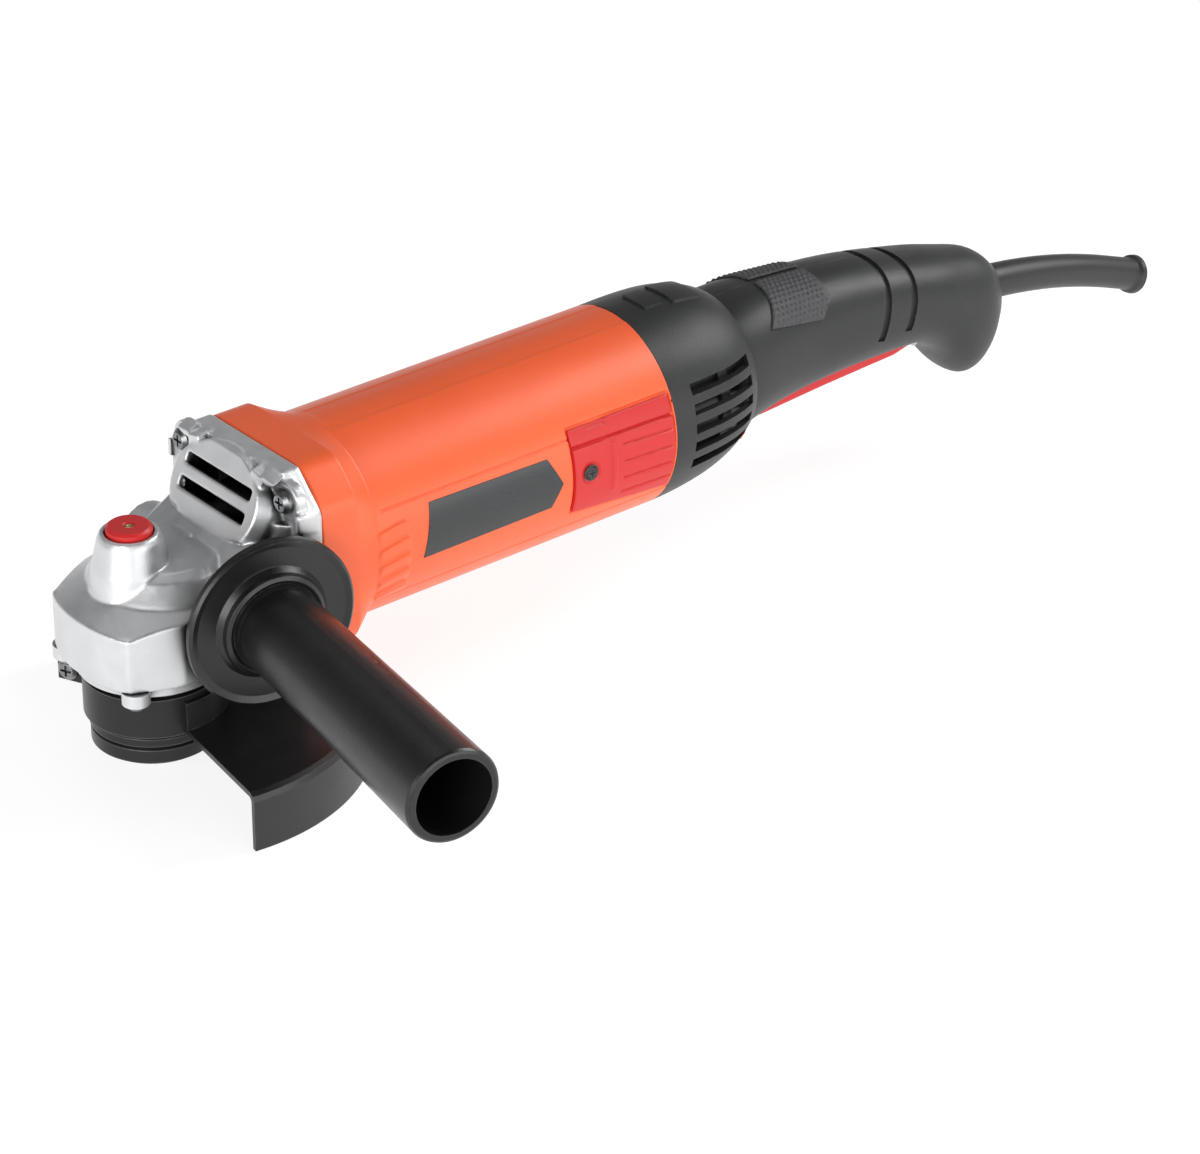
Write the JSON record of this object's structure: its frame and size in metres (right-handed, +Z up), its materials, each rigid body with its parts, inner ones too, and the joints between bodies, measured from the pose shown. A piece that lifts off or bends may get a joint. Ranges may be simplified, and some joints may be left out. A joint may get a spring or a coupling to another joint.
{
  "type": "angle grinder",
  "caption": "Hand-held angle grinder with a geared head, half-round wheel guard, screw-in side handle, round motor body and long rear handle with a paddle switch.",
  "frame": {"origin": "on the spindle axis, at the spindle's free threaded end below the lock nut", "axes": "+Z up along the spindle away from the wheel side, +X along the motor towards the rear handle, -Y towards the side handle"},
  "size_m": [0.4681, 0.224, 0.0995],
  "materials": {
    "orange_plastic": "satin moulded, orange",
    "red_plastic": "fine moulded, red",
    "black_plastic": "fine moulded, black",
    "black_grip": "dimpled soft grip",
    "black_nylon": "satin moulded nylon",
    "boot_rubber": "soft, satin",
    "cast_aluminium": "cast and blasted",
    "zinc_steel": "zinc plated",
    "ground_steel": "ground",
    "blackened_steel": "black oxide",
    "guard_paint": "black, satin",
    "label_foil": "blank printed foil",
    "copper": "enamelled winding wire",
    "core_steel": "stacked sheet",
    "carbon": "pressed carbon",
    "brass": "turned",
    "natural_plastic": "glass filled, dark grey"
  },
  "bodies": {
    "housing": {"gear_case": "cast_aluminium", "gear_case_screws": "zinc_steel", "bearing_cover": "cast_aluminium", "bearing_cover_screws": "zinc_steel", "bearing_plate": "cast_aluminium", "spindle_bearing": "ground_steel", "spindle_bush": "brass", "lock_spring": "zinc_steel", "front_motor_bearing": "ground_steel", "rear_motor_bearing": "ground_steel", "stator_core": "core_steel", "field_coils": "copper", "air_baffle": "natural_plastic", "brush_carrier": "natural_plastic", "brush_holders": "brass", "carbon_brushes": "carbon", "brush_springs": "zinc_steel", "motor_housing": "orange_plastic", "brush_cover_right": "red_plastic", "brush_cover_left": "red_plastic", "brush_cover_screws": "blackened_steel", "label_plate_right": "label_foil", "label_plate_left": "label_foil", "rear_bell": "black_plastic", "handle_half_right": "black_plastic", "handle_half_left": "black_plastic", "handle_screws": "blackened_steel", "grip_pad_right": "black_grip", "grip_pad_left": "black_grip", "cord_boot": "boot_rubber", "cord_clamp": "natural_plastic", "cord_clamp_screws": "zinc_steel", "switch": "natural_plastic", "suppression_capacitor": "natural_plastic", "paddle_pivot_pin": "ground_steel", "paddle_spring": "zinc_steel", "side_handle_grip": "black_nylon", "side_handle_stud": "zinc_steel"},
    "armature": {"armature_shaft": "ground_steel", "pinion": "ground_steel", "pinion_nut": "blackened_steel", "armature_core": "core_steel", "armature_windings": "copper", "commutator": "copper", "fan": "natural_plastic"},
    "spindle_line": {"spindle": "ground_steel", "bevel_gear": "ground_steel", "gear_clip": "blackened_steel", "inner_flange": "blackened_steel", "lock_nut": "blackened_steel"},
    "guard": {"guard_shroud": "guard_paint", "guard_band": "blackened_steel", "guard_clamp_screw": "zinc_steel"},
    "spindle_lock": {"lock_button": "red_plastic", "lock_pin": "ground_steel"},
    "paddle": {"paddle_lever": "red_plastic", "lock_off_pin": "ground_steel"},
    "plunger": {"switch_plunger": "red_plastic"},
    "lock_off": {"lock_off_lever": "red_plastic"}
  },
  "joints": [
    {"name": "armature_spin", "type": "hinge", "parent": "housing", "child": "armature", "pos_m": [0, 0, 0.0585], "axis": [1, 0, 0], "continuous": true},
    {"name": "spindle_spin", "type": "hinge", "parent": "housing", "child": "spindle_line", "pos_m": [0, 0, 0], "axis": [0, 0, 1], "continuous": true},
    {"name": "guard_turn", "type": "hinge", "parent": "housing", "child": "guard", "pos_m": [0, 0, 0], "axis": [0, 0, 1], "range_deg": [-60, 60]},
    {"name": "lock_press", "type": "slide", "parent": "housing", "child": "spindle_lock", "axis": [0, 0, -1], "range_m": [0, 0.004], "stiffness_N_per_m": 600, "springref_m": -0.005, "deforming": ["lock_spring"]},
    {"name": "paddle_squeeze", "type": "hinge", "parent": "housing", "child": "paddle", "pos_m": [0.316, 0, 0.0475], "axis": [0, 1, 0], "range_deg": [0, 5], "stiffness_Nm_per_rad": 2, "springref_deg": -5.73, "deforming": ["paddle_spring"]},
    {"name": "plunger_push", "type": "slide", "parent": "housing", "child": "plunger", "axis": [0, 0, 1], "range_m": [0, 0.0037]},
    {"name": "lock_off_tip", "type": "hinge", "parent": "paddle", "child": "lock_off", "pos_m": [0.2436, 0, 0.043], "axis": [0, 1, 0], "range_deg": [0, 20], "stiffness_Nm_per_rad": 0.05, "springref_deg": -17.19}
  ],
  "couplings": [
    {"joint": "spindle_spin", "follows": "armature_spin", "ratio": 0.32432},
    {"joint": "plunger_push", "follows": "paddle_squeeze", "m_per_rad": 0.0405}
  ]
}
